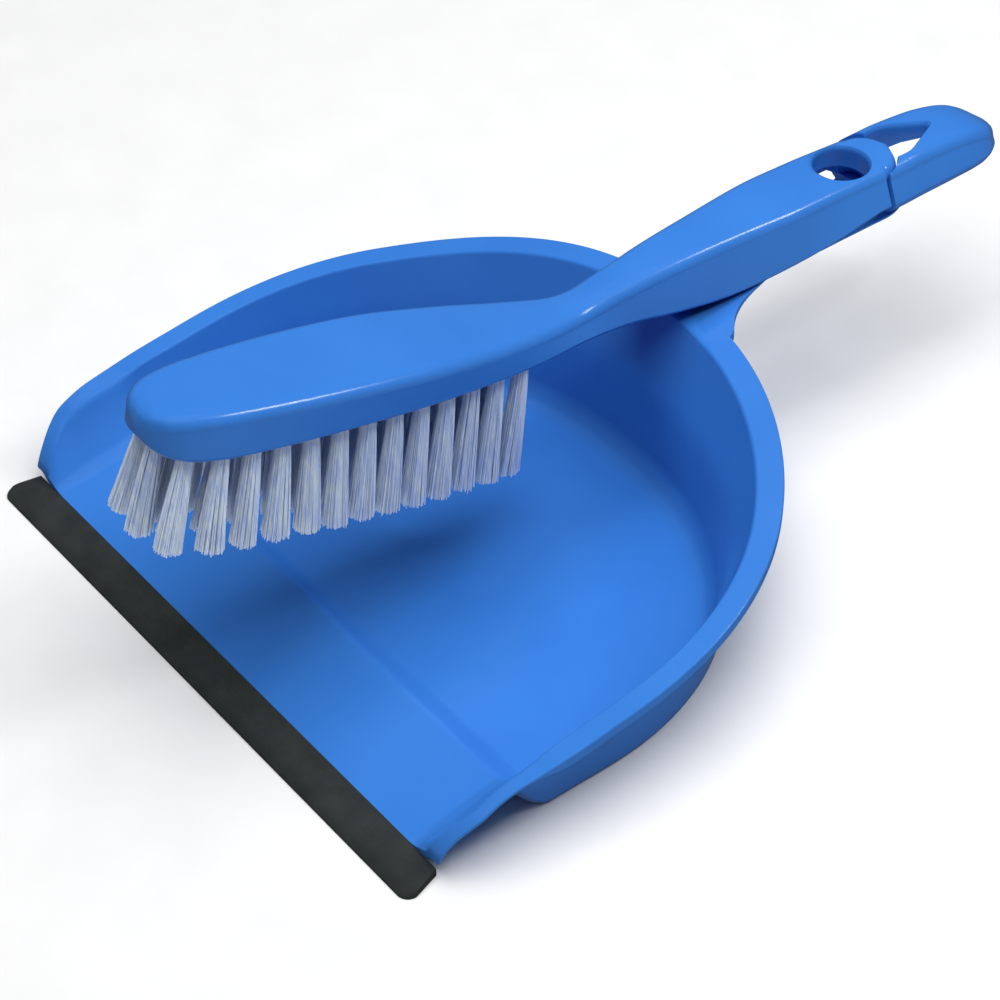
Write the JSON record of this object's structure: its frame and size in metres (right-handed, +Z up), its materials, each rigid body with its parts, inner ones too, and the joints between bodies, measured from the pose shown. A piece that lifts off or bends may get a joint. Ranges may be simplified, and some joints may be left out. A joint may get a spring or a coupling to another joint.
{
  "type": "dust pan and brush set",
  "caption": "Dust pan with a rubber lip and a round-backed bowl, and a hand brush that fits over the pan's handle.",
  "frame": {"origin": "centre of the bowl's round base, on the underside that rests on the floor", "axes": "+Y back along the handle, +X to the pan's right, +Z up"},
  "size_m": [0.2376, 0.3612, 0.1166],
  "materials": {
    "pan_plastic": "glossy moulded polypropylene",
    "brush_plastic": "glossy moulded polypropylene",
    "lip_rubber": "matt charcoal rubber",
    "bristle": "fine translucent white filaments",
    "anchor_steel": "drawn flat wire"
  },
  "bodies": {
    "pan": {"pan_shell": "pan_plastic", "lip_strip": "lip_rubber"},
    "brush": {"brush_body": "brush_plastic", "tuft_anchors": "anchor_steel", "tuft_nose": "bristle", "tuft_left_outer_01": "bristle", "tuft_left_outer_02": "bristle", "tuft_left_outer_03": "bristle", "tuft_left_outer_04": "bristle", "tuft_left_outer_05": "bristle", "tuft_left_outer_06": "bristle", "tuft_left_outer_07": "bristle", "tuft_left_outer_08": "bristle", "tuft_left_outer_09": "bristle", "tuft_left_outer_10": "bristle", "tuft_left_outer_11": "bristle", "tuft_left_outer_12": "bristle", "tuft_left_outer_13": "bristle", "tuft_left_inner_01": "bristle", "tuft_left_inner_02": "bristle", "tuft_left_inner_03": "bristle", "tuft_left_inner_04": "bristle", "tuft_left_inner_05": "bristle", "tuft_left_inner_06": "bristle", "tuft_left_inner_07": "bristle", "tuft_left_inner_08": "bristle", "tuft_left_inner_09": "bristle", "tuft_left_inner_10": "bristle", "tuft_left_inner_11": "bristle", "tuft_left_inner_12": "bristle", "tuft_right_inner_01": "bristle", "tuft_right_inner_02": "bristle", "tuft_right_inner_03": "bristle", "tuft_right_inner_04": "bristle", "tuft_right_inner_05": "bristle", "tuft_right_inner_06": "bristle", "tuft_right_inner_07": "bristle", "tuft_right_inner_08": "bristle", "tuft_right_inner_09": "bristle", "tuft_right_inner_10": "bristle", "tuft_right_inner_11": "bristle", "tuft_right_inner_12": "bristle", "tuft_right_outer_01": "bristle", "tuft_right_outer_02": "bristle", "tuft_right_outer_03": "bristle", "tuft_right_outer_04": "bristle", "tuft_right_outer_05": "bristle", "tuft_right_outer_06": "bristle", "tuft_right_outer_07": "bristle", "tuft_right_outer_08": "bristle", "tuft_right_outer_09": "bristle", "tuft_right_outer_10": "bristle", "tuft_right_outer_11": "bristle", "tuft_right_outer_12": "bristle", "tuft_right_outer_13": "bristle"}
  },
  "joints": [
    {"name": "brush_lift", "type": "slide", "parent": "pan", "child": "brush", "axis": [0, 0, 1], "range_m": [0, 0.1]}
  ]
}
